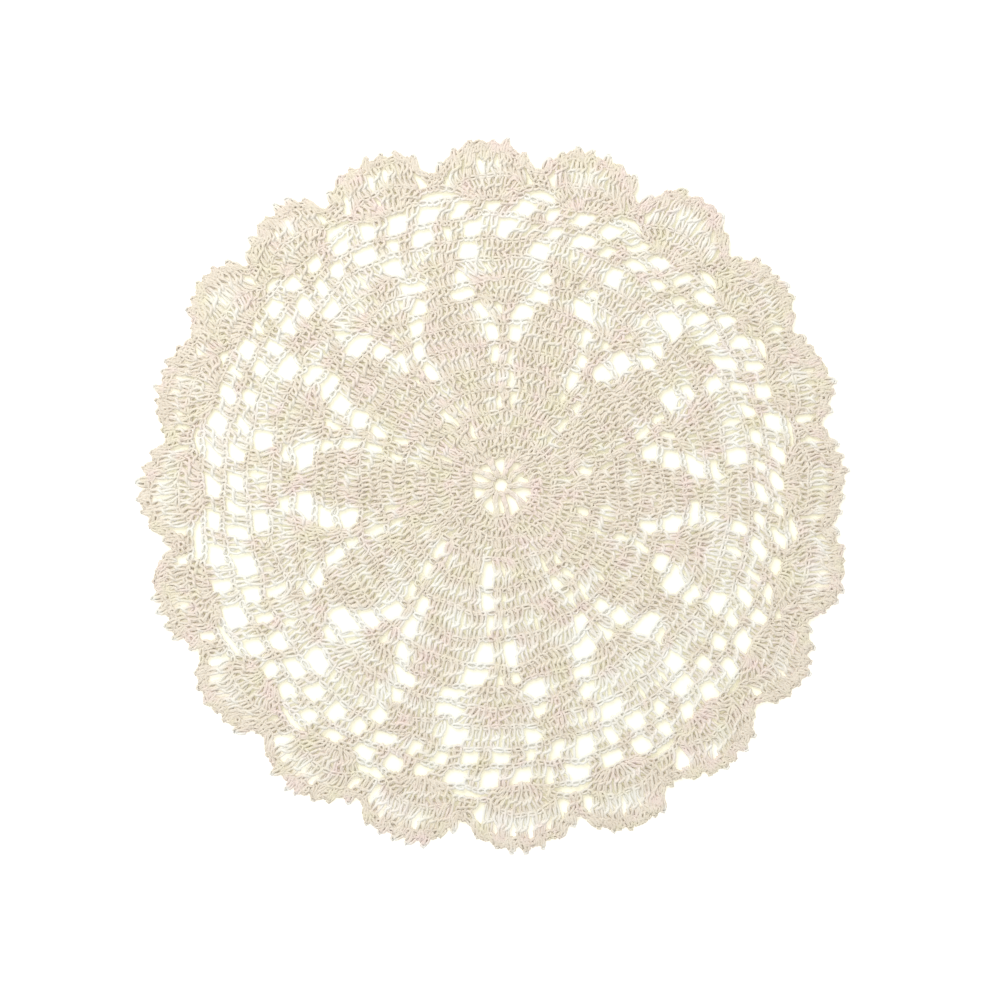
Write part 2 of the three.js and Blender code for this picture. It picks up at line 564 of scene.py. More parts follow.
@dataclass
class Hand:
    """The unevenness of hand work, the same each time. Each size is the most that a stitch is off."""

    seed: int = SEED
    shift: float = 0.34 * MM  # of a foot or a head, in plan
    bow: float = 0.72 * MM
    lean: float = 0.60 * MM  # of one half to one side, and of the other half to the other
    girth: float = 0.18  # as a share
    waist: float = 0.10  # as a share of the stitch's length
    lift: float = 0.20  # in diameters
    numbers: random.Random = field(init=False, repr=False)

    def __post_init__(self) -> None:
        """Start the row of random numbers."""
        self.numbers = random.Random(self.seed)

    def nudge(self, point: Vector, most: float = 1.0) -> Vector:
        """The point moved a little in plan."""
        return point + Vector((self.sway(self.shift * most), self.sway(self.shift * most), 0.0))

    def sway(self, most: float) -> float:
        """A number between -most and most."""
        return self.numbers.uniform(-most, most)

    def post(self, foot: Vector, head: Vector, foot_girth: float = 1.0, head_girth: float = 1.0) -> Post:
        """A double crochet between two places, a little bowed and a little thick or thin.

        Args:
            foot: where it stands; its foot is moved a little from there.
            head: where it ends.
            foot_girth: how thick it is at its foot.
            head_girth: how thick it is at its head.

        Returns:
            The stitch.
        """
        girth = 1 + self.sway(self.girth)
        waist, lift = 0.5 + self.sway(self.waist), self.sway(self.lift)
        ends = (girth * foot_girth, girth * head_girth)
        bow, lean = self.sway(self.bow), self.sway(self.lean)
        return Post(self.nudge(foot), head, ends, bow, lean, waist, lift)


def spread(ends: tuple[float, float], count: int) -> list[float]:
    """Even steps from one end to the other.

    Args:
        ends: the first and the last value.
        count: how many values there are; a single one lies half way.

    Returns:
        The values in order.
    """
    if count == 1:
        return [sum(ends) / 2]
    return [ends[0] + (ends[1] - ends[0]) * step / (count - 1) for step in range(count)]


def between(start: Vector, end: Vector, count: int) -> list[Vector]:
    """The places of some chains on the way from one stitch to the next."""
    return [start.lerp(end, (step + 1) / (count + 1)) for step in range(count)]


@dataclass
class Crocheter:
    """Works the rounds of the doily from the chart."""

    blocking: Blocking = field(default_factory=Blocking)
    hand: Hand = field(default_factory=Hand)
    ring: float = 4.1 * MM  # from the centre to the feet of round 1
    centre_girth: tuple[float, float] = (0.26, 0.50)  # how thin round 1's posts are, foot and head
    chain_rise: float = 0.45  # mm that a row of chains bows outward
    chain_uneven: float = 1.4  # how much more a chain is shifted than a stitch
    drift: float = 0.035  # how far a group stands from its middle, in fans
    stretch: float = 0.12  # how much wider or narrower than charted a group is
    net_drift: float = 0.04  # how far a net pillar's ends stand from their places, in fans

    def charted(self, number: int) -> Round:
        """Work one of rounds 1 to 11 from its row of the chart.

        Args:
            number: the round's number.

        Returns:
            The finished round.
        """
        made = Round()
        heads: list[tuple[Vector, int]] = []
        for repeat in range(FANS // 2):
            for group in CHART[number]:
                middle = 2 * repeat + group.middle.value + self.hand.sway(self.drift)
                feet, tops = (
                    [end * (1 + self.hand.sway(self.stretch)) for end in ends]
                    for ends in (group.feet, group.heads)
                )
                places = zip(spread(feet, group.count), spread(tops, group.count))
                for index, (foot, head) in enumerate(places):
                    top = self.hand.nudge(self.blocking.at(number, middle + head))
                    base = self.base(number, middle + foot)
                    made.posts.append(self.hand.post(base, top, *self.girth(number)))
                    last = index == group.count - 1
                    heads.append((top, group.chains if last else 0))
        made.stops = self.linked(heads, SAGS.get(number, 0.0))
        return made

    def girth(self, number: int) -> tuple[float, float]:
        """How thick the posts of a round are, at the foot and at the head."""
        return self.centre_girth if number == 1 else (1.0, 1.0)

    def base(self, number: int, place: float) -> Vector:
        """Where a stitch of a round stands on the round below.

        Args:
            number: the stitch's own round.
            place: a place round the work, in fans.

        Returns:
            The stitch's foot, in plan.
        """
        if number == 1:
            return polar(self.blocking.bearing(1, place), self.ring)
        return self.blocking.at(number - 1, place)

    def linked(self, heads: list[tuple[Vector, int]], sag: float = 0.0) -> list[Stop]:
        """The stops of a closed round: each stitch's head, and the chains that follow it.

        Args:
            heads: the head of each stitch in order, and how many chains follow it.
            sag: mm that the chains hang inward.

        Returns:
            The places that the round's top chain runs through.
        """
        stops = []
        for index, (head, chains) in enumerate(heads):
            following = heads[(index + 1) % len(heads)][0]
            stops.append(Stop(head, chains > 0))
            rise = (self.chain_rise + self.hand.sway(self.chain_rise) - sag) * MM
            for number, stop in enumerate(between(head, following, chains)):
                bow = rise * math.sin(math.pi * (number + 1) / (chains + 1))
                stops.append(Stop(self.hand.nudge(stop + stop.normalized() * bow, self.chain_uneven)))
        return stops

    def net(self, number: int) -> Round:
        """Work one of the two rounds of net: pairs of double crochets with chains between.

        Args:
            number: the round's number, 12 or 13.

        Returns:
            The finished round.
        """
        made = Round()
        heads: list[tuple[Vector, int]] = []
        for pillar in range(NET_PER_FAN * FANS):
            place = (pillar + 0.5) / NET_PER_FAN + NET_PLACE[number] + self.hand.sway(self.net_drift)
            top = self.blocking.at(number, place)
            lean = NET_LEAN + self.hand.sway(self.net_drift)
            base = self.blocking.at(number - 1, place - lean)
            side = (self.blocking.at(number, place + AHEAD) - top).normalized()
            for sign, chains in ((-1, 0), (1, NET_CHAINS)):
                head = self.hand.nudge(top + side * sign * PILLAR_HEAD * MM)
                foot = base + side * sign * PILLAR_FOOT * MM
                made.posts.append(self.hand.post(foot, head, PILLAR_GIRTH, PILLAR_GIRTH))
                heads.append((head, chains))
        made.stops = self.linked(heads)
        return made


class Cluster(NamedTuple):
    """Some double crochets together in a shell's second row.

    foot is a place on the first row's top, from -1 to 1, and head a share of the rim from dip to dip.
    """

    count: int
    foot: float
    head: float


CLUSTERS = (
    Cluster(2, -0.74, 0.205), Cluster(3, -0.38, 0.35), Cluster(2, 0.0, 0.5), Cluster(3, 0.38, 0.65),
    Cluster(2, 0.74, 0.795),
)
VALLEY_CHAINS = 2  # between a shell's stitches and the valley's
VALLEY_SIDES = (-1, 0, 1)  # the valley's three stitches, in steps from its middle


@dataclass
class ShellEdge:
    """The two rows of shells, the valleys between them, and the edging with its picots.

    Its lengths are in mm.
    """

    crocheter: Crocheter
    stitches: int = 12  # in one shell's first row
    foot_half: float = 8.0  # from the first row's middle to its outer feet
    foot_drop: float = 0.5  # how much further in the outer feet stand
    head_half: float = 14.8  # from its middle to its outer heads
    first_girth: tuple[float, float] = (0.85, 1.1)  # how thick its stitches are, foot and head
    first_uneven: float = 1.5  # how much more its heads are shifted than elsewhere
    crown: float = 0.385  # how high the first row reaches in the middle, as a share of the border
    shoulder: float = 0.095  # and at its sides
    fan_angle: float = 80.0  # degrees that the heads spread to each side
    arch_chains: int = 4  # from one shell to the next
    arch_rise: float = 0.8  # how far they bow outward
    second_girth: tuple[float, float] = (0.9, 0.95)
    second_uneven: float = 2.0
    foot_step: float = 0.17  # between the feet of one cluster, along the first row's top
    head_step: float = 0.026  # between its heads, along the rim
    edging: float = 5.4  # from the rim down to the second row's heads
    valley_drop: float = 3.9  # from the dip's rim down to the valley stitches' heads
    valley_step: float = 2.2  # between the valley stitches
    short: float = 1.7  # height of the edging's short stitches
    short_sway: float = 0.4  # how much that height varies, as a share
    short_every: int = 3  # one short stitch in this many is left out
    short_uneven: float = 1.6
    picots: tuple[float, ...] = (0.06, 0.19, 0.32, 0.45, 0.57, 0.70, 0.84)  # shares of the rim
    picot_shift: float = 0.02  # how far a picot stands from its share
    picot_lean: float = 24.0  # degrees that it leans to a side
    picot_half: float = 1.2  # half its width at its root
    picot_sway: float = 0.35  # how much that width varies, as a share
    tip_inset: float = 1.9  # from the rim down to its tip
    tip_sway: float = 1.3  # how much that varies
    tip_half: float = 0.45  # its tip's width, as a share of its root's
    root_depth: float = 1.4  # how far its root reaches below the edging's top

    def frame(self, shell: int) -> tuple[Vector, Vector, Vector, float]:
        """Where a shell stands.

        Args:
            shell: the shell's number.

        Returns:
            The foot of its middle, its directions across and outward, and its height in mm.
        """
        work = self.crocheter.blocking
        bearing = work.column("shell", shell)
        foot = polar(bearing, work.reach(LEVELS["net"], shell) * MM)
        outward = polar(bearing, 1.0)
        across = Vector((outward.y, -outward.x, 0.0))
        height = work.column("picots", shell) - work.column("net", shell)
        return foot, across, outward, height

    def arc(self, shell: int, share: float) -> Vector:
        """A place on the first row's top.

        Args:
            shell: the shell's number.
            share: from -1 at the row's start to 1 at its end.

        Returns:
            The place, in plan.
        """
        foot, across, outward, height = self.frame(shell)
        angle = math.radians(self.fan_angle) * share
        side = self.head_half * math.sin(angle) / math.sin(math.radians(self.fan_angle))
        up = height * (self.shoulder + (self.crown - self.shoulder) * math.cos(angle))
        return foot + across * side * MM + outward * up * MM

    def first_round(self) -> Round:
        """Work the first row of shells, with chains across each valley.

        Returns:
            The finished round.
        """
        made = Round()
        hand = self.crocheter.hand
        for shell in range(FANS):
            foot, across, outward, _ = self.frame(shell)
            for share in spread((-1, 1), self.stitches):
                drop = outward * -share * share * self.foot_drop * MM
                base = foot + across * share * self.foot_half * MM + drop
                head = hand.nudge(self.arc(shell, share), self.first_uneven)
                made.posts.append(hand.post(base, head, *self.first_girth))
                made.stops.append(Stop(head, share == 1))
            start, end = made.stops[-1].place, self.arc(shell + 1, -1)
            for number, stop in enumerate(between(start, end, self.arch_chains)):
                bow = math.sin(math.pi * (number + 1) / (self.arch_chains + 1)) * self.arch_rise * MM
                made.stops.append(Stop(hand.nudge(stop + stop.normalized() * bow)))
        return made

    def second_round(self) -> Round:
        """Work the second row's clusters, and the stitches up from each valley.

        Returns:
            The finished round.
        """
        made = Round()
        hand, work = self.crocheter.hand, self.crocheter.blocking
        heads: list[tuple[Vector, int]] = []
        for shell in range(FANS):
            for cluster in CLUSTERS:
                half = (cluster.count - 1) / 2
                for index in range(cluster.count):
                    share = cluster.head + (index - half) * self.head_step
                    foot = self.arc(shell, cluster.foot + (index - half) * self.foot_step)
                    bearing, reach = work.rim(shell, share)
                    head = hand.nudge(polar(bearing, (reach - self.edging) * MM), self.second_uneven)
                    foot = hand.nudge(foot, self.second_uneven)
                    made.posts.append(hand.post(foot, head, *self.second_girth))
                    last = index == cluster.count - 1
                    heads.append((head, int(last) * (VALLEY_CHAINS if cluster is CLUSTERS[-1] else 1)))
            arch = self.arc(shell, 1).lerp(self.arc(shell + 1, -1), 0.5)
            arch += arch.normalized() * self.arch_rise * MM
            bearing, reach = work.rim(shell, 1.0)
            top = polar(bearing, (reach - self.valley_drop) * MM)
            side = Vector((top.y, -top.x, 0.0)).normalized()
            for step in VALLEY_SIDES:
                head = hand.nudge(top + side * step * self.valley_step * MM)
                made.posts.append(hand.post(arch + side * step * self.valley_step * MM, head))
                heads.append((head, VALLEY_CHAINS if step == VALLEY_SIDES[-1] else 0))
        made.stops = self.crocheter.linked(heads)
        return made

    def edging_round(self, below: Round) -> Round:
        """Work the short stitches of the edging on the heads of the round below.

        Args:
            below: the shells' second row.

        Returns:
            The finished round.
        """
        made = Round()
        hand = self.crocheter.hand
        for number, stop in enumerate(below.stops):
            height = self.short * (1 + hand.sway(self.short_sway)) * MM
            top = hand.nudge(stop.place + stop.place.normalized() * height, self.short_uneven)
            if number % self.short_every != self.short_every - 1:
                made.posts.append(hand.post(hand.nudge(stop.place), top))
            made.stops.append(Stop(top))
        return made

    def picot_loops(self) -> Iterator[list[Stop]]:
        """The way of each picot: up to its tip and back down to the edging.

        Yields:
            The stops of one picot.
        """
        hand, work = self.crocheter.hand, self.crocheter.blocking
        for shell in range(FANS):
            for place in self.picots:
                bearing, reach = work.rim(shell, place + hand.sway(self.picot_shift))
                tip = polar(bearing, (reach - self.tip_inset + hand.sway(self.tip_sway)) * MM)
                outward = polar(bearing + hand.sway(self.picot_lean), 1.0)
                across = Vector((outward.y, -outward.x, 0.0))
                root = tip - outward * (self.edging - self.short + self.root_depth) * MM
                half = self.picot_half * (1 + hand.sway(self.picot_sway)) * MM
                turn = across * half * self.tip_half
                places = (root - across * half, tip - turn, tip + turn, root + across * half)
                yield [Stop(place) for place in places]


# ---------------------------------------------------------------- node trees as expressions


Operand: TypeAlias = "Socket | float"  # what a sum in a node tree may take


class Socket:
    """One output of a node, so that sums on values read as Python expressions."""

    def __init__(self, graph: "Graph", socket: bpy.types.NodeSocket) -> None:
        """Remember the tree and the output."""
        self.graph = graph
        self.socket = socket

    def __add__(self, other: Operand) -> "Socket":
        """This value plus another."""
        return self.graph.maths("ADD", self, other)

    def __radd__(self, other: Operand) -> "Socket":
        """Another value plus this one."""
        return self.graph.maths("ADD", other, self)

    def __sub__(self, other: Operand) -> "Socket":
        """This value less another."""
        return self.graph.maths("SUBTRACT", self, other)

    def __rsub__(self, other: Operand) -> "Socket":
        """Another value less this one."""
        return self.graph.maths("SUBTRACT", other, self)

    def __mul__(self, other: Operand) -> "Socket":
        """This value times another."""
        return self.graph.maths("MULTIPLY", self, other)

    def __rtruediv__(self, other: Operand) -> "Socket":
        """Another value over this one."""
        return self.graph.maths("DIVIDE", other, self)

    def cosine(self) -> "Socket":
        """The cosine of this value."""
        return self.graph.maths("COSINE", self)

    def at_least(self, low: Operand) -> "Socket":
        """This value, or a limit where it's under the limit."""
        return self.graph.maths("MAXIMUM", self, low)

    def wrap(self, low: float, high: float) -> "Socket":
        """This value brought between two limits by whole steps."""
        return self.graph.maths("WRAP", self, high, low)


class Outputs:
    """The outputs of one node, read by name or number."""

    def __init__(self, graph: "Graph", node: bpy.types.Node) -> None:
        """Remember the tree and the node."""
        self.graph = graph
        self.node = node

    def __getitem__(self, key: str | int) -> Socket:
        """The output with this name or number."""
        return Socket(self.graph, self.node.outputs[key])


class Graph:
    """A node tree that is built by calls and expressions."""

    MIX_COLOURS = (6, 7)  # the numbers of a Mix node's two colour inputs
    MIXED_COLOUR = 2  # and of its colour output

    def __init__(self, tree: bpy.types.NodeTree) -> None:
        """Start from an empty tree."""
        self.tree = tree
        tree.nodes.clear()

    def node(
        self, kind: str, settings: dict[str, Any] | None = None, sockets: dict[str | int, Any] | None = None
    ) -> Outputs:
        """Add any node.

        Args:
            kind: the node's type.
            settings: its own settings, set first.
            sockets: the value or the link of each input, by name or number.

        Returns:
            The node's outputs.
        """
        node = self.tree.nodes.new(kind)
        for name, value in (settings or {}).items():
            setattr(node, name, value)
        for key, value in (sockets or {}).items():
            if isinstance(value, Socket):
                self.tree.links.new(value.socket, node.inputs[key])
            else:
                node.inputs[key].default_value = value
        return Outputs(self, node)

    def maths(self, operation: str, *values: Operand) -> Socket:
        """Add a Math node over some values."""
        return self.node("ShaderNodeMath", {"operation": operation}, dict(enumerate(values)))[0]

    def vector(self, operation: str, sockets: dict[str | int, Any]) -> Socket:
        """Add a Vector Math node."""
        return self.node("ShaderNodeVectorMath", {"operation": operation}, sockets)[0]

    def change(
        self,
        kind: str,
        shape: Socket,
        settings: dict[str, Any] | None = None,
        sockets: dict[str | int, Any] | None = None,
    ) -> Socket:
        """Add a node that takes some geometry as its first input and gives it on changed.

        Args:
            kind: the node's type.
            shape: the geometry.
            settings: the node's own settings.
            sockets: its other inputs, by name or number.

        Returns:
            The changed geometry.
        """
        return self.node(kind, settings, {0: shape, **(sockets or {})})[0]

    def capture(self, shape: Socket, name: str, value: Socket) -> Outputs:
        """Keep a value on each point of some curves while they are swept.

        Args:
            shape: the curves.
            name: the value's name, and that of the output that gives it back.
            value: what is kept.

        Returns:
            The outputs: the curves as Geometry, and the value by its name.
        """
        kept = self.node("GeometryNodeCaptureAttribute", {"domain": "POINT"})
        kept.node.capture_items.new("FLOAT", name)
        self.tree.links.new(shape.socket, kept.node.inputs["Geometry"])
        self.tree.links.new(value.socket, kept.node.inputs[name])
        return kept

    def mix(self, share: Socket, first: Any, second: Any) -> Socket:
        """Mix two colours.

        Args:
            share: how much of the second colour, kept between 0 and 1.
            first: a colour, as three numbers or a link.
            second: the other colour.

        Returns:
            The mixed colour.
        """
        inputs: dict[str | int, Any] = {"Factor": share}
        for key, value in zip(self.MIX_COLOURS, (first, second)):
            inputs[key] = value if isinstance(value, Socket) else (*value, 1.0)
        settings = {"data_type": "RGBA", "clamp_factor": True}
        return self.node("ShaderNodeMix", settings, inputs)[self.MIXED_COLOUR]

    def surface(self, sockets: dict[str | int, Any]) -> None:
        """Add a Principled shader with these inputs, and the material's output."""
        shader = self.node("ShaderNodeBsdfPrincipled", sockets=sockets)["BSDF"]
        self.node("ShaderNodeOutputMaterial", sockets={"Surface": shader})


# ---------------------------------------------------------------- spinning the yarn


class Spinner:
    """Spins the yarn along paths with a geometry node tree."""

    WAVER_DETAIL = 2.0
    WAVER_CENTRE = (0.5, 0.5, 0.5)  # the noise's mean
    WAVER_WAYS = (1.0, 1.0, 0.25)  # how much the yarn strays along X, along Y and up
    SLUB_DETAIL = 1.0
    STEPS_BETWEEN = 4  # steps of the smooth curve from one point of a path to the next

    def __init__(self, yarn: Yarn) -> None:
        """Build the tree once, for every piece.

        Args:
            yarn: the yarn's sizes.
        """
        self.yarn = yarn
        self.tree = bpy.data.node_groups.new("Plied yarn", "GeometryNodeTree")
        self.inputs: dict[str, str] = {}
        self._build()

    def _input(self, name: str, kind: str) -> None:
        """Add a named input to the tree and remember its identifier."""
        made = self.tree.interface.new_socket(name=name, in_out="INPUT", socket_type=kind)
        self.inputs[name] = made.identifier

    def _build(self) -> None:
        """Wire the tree: its inputs, the paths as uneven curves, the swept yarn and its finish."""
        graph = Graph(self.tree)
        self._input("Paths", "NodeSocketGeometry")
        for name in ("Radius", "Step", "Waver", "Waver size", "Slub", "Slub size"):
            self._input(name, "NodeSocketFloat")
        for name in ("Sides", "Seed"):
            self._input(name, "NodeSocketInt")
        self._input("Yarn", "NodeSocketMaterial")
        self.tree.interface.new_socket(name="Cloth", in_out="OUTPUT", socket_type="NodeSocketGeometry")
        given = graph.node("NodeGroupInput")
        cloth = self._swept(graph, given, self._toned(graph, given, self._curves(graph, given)))
        cloth = graph.change("GeometryNodeSetShadeSmooth", cloth)
        cloth = graph.change("GeometryNodeRealizeInstances", cloth)
        cloth = graph.change("GeometryNodeSetMaterial", cloth, sockets={"Material": given["Yarn"]})
        graph.node("NodeGroupOutput", sockets={"Cloth": cloth})

    def _curves(self, graph: Graph, given: Outputs) -> Socket:
        """Turn the paths into smooth curves that waver, and that lie on the surface at their lowest.

        Args:
            graph: the tree.
            given: the tree's inputs.

        Returns:
            The curves.
        """
        curves = graph.change("GeometryNodeMeshToCurve", given["Paths"])
        place = graph.node("GeometryNodeInputPosition")[0]
        noise = {"Vector": place, "W": given["Seed"], "Scale": 1.0 / given["Waver size"],
                 "Detail": self.WAVER_DETAIL}
        offset = graph.node("ShaderNodeTexNoise", {"noise_dimensions": "4D"}, noise)["Color"]
        offset = graph.vector("SUBTRACT", {0: offset, 1: self.WAVER_CENTRE})
        offset = graph.vector("MULTIPLY", {0: offset, 1: self.WAVER_WAYS})
        offset = graph.vector("SCALE", {0: offset, "Scale": given["Waver"]})
        curves = graph.change("GeometryNodeSetPosition", curves, sockets={"Offset": offset})
        curves = graph.change("GeometryNodeCurveSplineType", curves, {"spline_type": "CATMULL_ROM"})
        curves = graph.change(
            "GeometryNodeSetSplineResolution", curves, sockets={"Resolution": self.STEPS_BETWEEN}
        )
        curves = graph.change(
            "GeometryNodeResampleCurve", curves, {"mode": "LENGTH"}, {"Length": given["Step"]}
        )
        place = graph.node("ShaderNodeSeparateXYZ", sockets={0: place})
        height = place["Z"].at_least(given["Radius"] * self.yarn.lowest)
        lying = {"X": place["X"], "Y": place["Y"], "Z": height}
        resting = graph.node("ShaderNodeCombineXYZ", sockets=lying)[0]
        return graph.change("GeometryNodeSetPosition", curves, sockets={"Position": resting})

    def _toned(self, graph: Graph, given: Outputs, curves: Socket) -> Socket:
        """Store a random tone on each strand.

        Args:
            graph: the tree.
            given: the tree's inputs.
            curves: the strands' curves.

        Returns:
            The curves with their tone.
        """
        number = {"ID": graph.node("GeometryNodeInputIndex")[0], "Seed": given["Seed"]}
        tone = graph.node("FunctionNodeRandomValue", {"data_type": "FLOAT"}, number)[1]
        kind = {"data_type": "FLOAT", "domain": "CURVE"}
        stored = {"Name": "tone", "Value": tone}
        return graph.change("GeometryNodeStoreNamedAttribute", curves, kind, stored)

    def _swept(self, graph: Graph, given: Outputs, curves: Socket) -> Socket:
        """Sweep the round section along the curves, and store the map along and round the yarn.

        Args:
            graph: the tree.
            given: the tree's inputs.
            curves: the strands' curves.

        Returns:
            The yarn's mesh.
        """
        strands = graph.capture(curves, "Along", graph.node("GeometryNodeSplineParameter")["Length"])
        profile = graph.node(
            "GeometryNodeCurvePrimitiveCircle",
            sockets={"Resolution": given["Sides"], "Radius": given["Radius"]},
        )["Curve"]
        share = graph.node("GeometryNodeInputIndex")[0] * (1.0 / self.yarn.sides)
        section = graph.capture(profile, "Turn", share)
        noise = {"Scale": 1.0 / given["Slub size"], "Detail": self.SLUB_DETAIL}
        slub = graph.node("ShaderNodeTexNoise", sockets=noise)[0]
        girth = 1.0 + (slub - 0.5) * given["Slub"]
        swept = {"Profile Curve": section["Geometry"], "Scale": girth, "Fill Caps": True}
        tube = graph.change("GeometryNodeCurveToMesh", strands["Geometry"], sockets=swept)
        flat = {"X": strands["Along"], "Y": self._unbroken(graph, section["Turn"])}
        kind = {"data_type": "FLOAT2", "domain": "CORNER"}
        stored = {"Name": "UVMap", "Value": graph.node("ShaderNodeCombineXYZ", sockets=flat)[0]}
        return graph.change("GeometryNodeStoreNamedAttribute", tube, kind, stored)

    @staticmethod
    def _unbroken(graph: Graph, turn: Socket) -> Socket:
        """Take out the jump from 1 to 0 that the turn round the yarn has inside its last face.

        Args:
            graph: the tree.
            turn: the turn round the yarn, from 0 to 1.

        Returns:
            The turn, within half a turn of its face's middle.
        """
        whole = 2 * math.pi
        means = []
        for operation in ("SINE", "COSINE"):
            wave = graph.maths(operation, turn * whole)
            for domain in ("CORNER", "FACE"):
                wave = graph.node("GeometryNodeFieldOnDomain", {"domain": domain}, {0: wave})[0]
            means.append(wave)
        middle = graph.maths("ARCTAN2", *means) * (1.0 / whole)
        return middle + (turn - middle).wrap(-0.5, 0.5)

    def spin(
        self, name: str, strands: list[Strand], openness: Openness, finish: bpy.types.Material
    ) -> bpy.types.Object:
        """Make one piece from its strands.

        Args:
            name: the piece's name.
            strands: the paths that its yarn follows.
            openness: how open the work is around each place.
            finish: the yarn's material.

        Returns:
            The piece as a plain mesh object.
        """
        points: list[Vector] = []
        edges: list[tuple[int, int]] = []
        for strand in strands:
            start, count = len(points), len(strand.points)
            points.extend(strand.points)
            edges.extend((start + step, start + step + 1) for step in range(count - 1))
            if strand.closed:
                edges.append((start + count - 1, start))
        mesh = bpy.data.meshes.new(name)
        mesh.from_pydata(points, edges, [])
        open_work = mesh.attributes.new("open", "FLOAT", "POINT")
        open_work.data.foreach_set("value", [openness.at(point) for point in points])
        piece = bpy.data.objects.new(name, mesh)
        bpy.context.scene.collection.objects.link(piece)
        yarn = self.yarn
        sizes = {
            "Radius": yarn.diameter / 2, "Step": yarn.step, "Sides": yarn.sides, "Slub": yarn.slub,
            "Slub size": yarn.slub_size, "Waver": yarn.waver, "Waver size": yarn.waver_size,
            "Seed": SEED, "Yarn": finish,
        }
        modifier = piece.modifiers.new("Yarn", "NODES")
        modifier.node_group = self.tree
        for key, value in sizes.items():
            modifier[self.inputs[key]] = value
        evaluated = piece.evaluated_get(bpy.context.evaluated_depsgraph_get())
        piece.data = bpy.data.meshes.new_from_object(evaluated)
        piece.modifiers.clear()
        bpy.data.meshes.remove(mesh)
        piece.data.name = name
        return piece


# ---------------------------------------------------------------- finishes


Colour: TypeAlias = tuple[float, float, float]


def blank(name: str) -> tuple[bpy.types.Material, Graph]:
    """Start a material.

    Args:
        name: the material's name.

    Returns:
        The material, and its empty node tree.
    """
    made = bpy.data.materials.new(name)
    made.use_nodes = True
    return made, Graph(made.node_tree)


